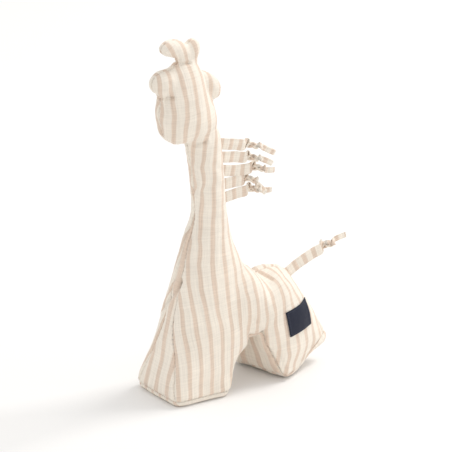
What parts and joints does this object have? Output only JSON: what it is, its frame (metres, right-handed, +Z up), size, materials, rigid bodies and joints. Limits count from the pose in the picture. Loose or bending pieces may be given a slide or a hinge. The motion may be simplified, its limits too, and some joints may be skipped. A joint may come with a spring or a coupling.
{
  "type": "stuffed giraffe rattle",
  "caption": "Hand-sewn stuffed giraffe of striped cloth with a rattle in its belly, knotted ribbons for mane and tail, standing on two wide feet.",
  "frame": {"origin": "middle of the front sole, on the surface that the toy stands on", "axes": "-X the way the chest faces, -Y the giraffe's left, +Z up"},
  "size_m": [0.1914, 0.062, 0.3044],
  "materials": {
    "panel_cloth": "plain-woven linen and cotton, cream with beige stripes",
    "ribbon_cloth": "the same cloth folded to a flat ribbon, striped across",
    "wadding": "white polyester fibre filling",
    "label_weave": "navy woven ribbon, bare",
    "capsule_plastic": "white moulded plastic",
    "bead_plastic": "glossy moulded beads"
  },
  "bodies": {
    "body": {"left_side_panel": "panel_cloth", "right_side_panel": "panel_cloth", "chest_gusset": "panel_cloth", "belly_gusset": "panel_cloth", "rump_gusset": "panel_cloth", "front_sole": "panel_cloth", "rear_sole": "panel_cloth", "front_leg_filling": "wadding", "shoulder_filling": "wadding", "neck_filling": "wadding", "head_filling": "wadding", "body_filling": "wadding", "filling_plug": "wadding", "rear_leg_filling": "wadding", "front_ear_filling": "wadding", "rear_ear_filling": "wadding", "front_horn_filling": "wadding", "rear_horn_filling": "wadding", "lower_capsule_half": "capsule_plastic", "upper_capsule_half": "capsule_plastic", "label": "label_weave"},
    "mane_1": {"mane_ribbon_1": "ribbon_cloth"},
    "mane_2": {"mane_ribbon_2": "ribbon_cloth"},
    "mane_3": {"mane_ribbon_3": "ribbon_cloth"},
    "mane_4": {"mane_ribbon_4": "ribbon_cloth"},
    "mane_5": {"mane_ribbon_5": "ribbon_cloth"},
    "tail": {"tail_ribbon": "ribbon_cloth"},
    "bead_a": {"bead_1": "bead_plastic"},
    "bead_b": {"bead_2": "bead_plastic"},
    "bead_c": {"bead_3": "bead_plastic"},
    "bead_d": {"bead_4": "bead_plastic"}
  },
  "joints": [
    {"name": "mane_1_flap", "type": "hinge", "parent": "body", "child": "mane_1", "pos_m": [0.03611, 0, 0.2045], "axis": [-0.0804, 0, 0.9968], "range_deg": [-75, 75], "stiffness_Nm_per_rad": 0.0005},
    {"name": "mane_2_flap", "type": "hinge", "parent": "body", "child": "mane_2", "pos_m": [0.03708, 0, 0.1928], "axis": [-0.0804, 0, 0.9968], "range_deg": [-75, 75], "stiffness_Nm_per_rad": 0.0005},
    {"name": "mane_3_flap", "type": "hinge", "parent": "body", "child": "mane_3", "pos_m": [0.03781, 0, 0.1811], "axis": [-0.0804, 0, 0.9968], "range_deg": [-75, 75], "stiffness_Nm_per_rad": 0.0005},
    {"name": "mane_4_flap", "type": "hinge", "parent": "body", "child": "mane_4", "pos_m": [0.03853, 0, 0.1694], "axis": [-0.0804, 0, 0.9968], "range_deg": [-75, 75], "stiffness_Nm_per_rad": 0.0005},
    {"name": "mane_5_flap", "type": "hinge", "parent": "body", "child": "mane_5", "pos_m": [0.03943, 0, 0.1577], "axis": [-0.0804, 0, 0.9968], "range_deg": [-75, 75], "stiffness_Nm_per_rad": 0.0005},
    {"name": "tail_wag", "type": "hinge", "parent": "body", "child": "tail", "pos_m": [0.10067, 0, 0.08082], "axis": [-0.515, 0, 0.8572], "range_deg": [-70, 70], "stiffness_Nm_per_rad": 0.001},
    {"name": "bead_1_hop", "type": "slide", "parent": "body", "child": "bead_a", "axis": [0, 0, 1], "range_m": [0, 0.0095]},
    {"name": "bead_2_hop", "type": "slide", "parent": "body", "child": "bead_b", "axis": [0, 0, 1], "range_m": [0, 0.0095]},
    {"name": "bead_3_hop", "type": "slide", "parent": "body", "child": "bead_c", "axis": [0, 0, 1], "range_m": [0, 0.0095]},
    {"name": "bead_4_hop", "type": "slide", "parent": "body", "child": "bead_d", "axis": [0, 0, 1], "range_m": [0, 0.0095]}
  ]
}
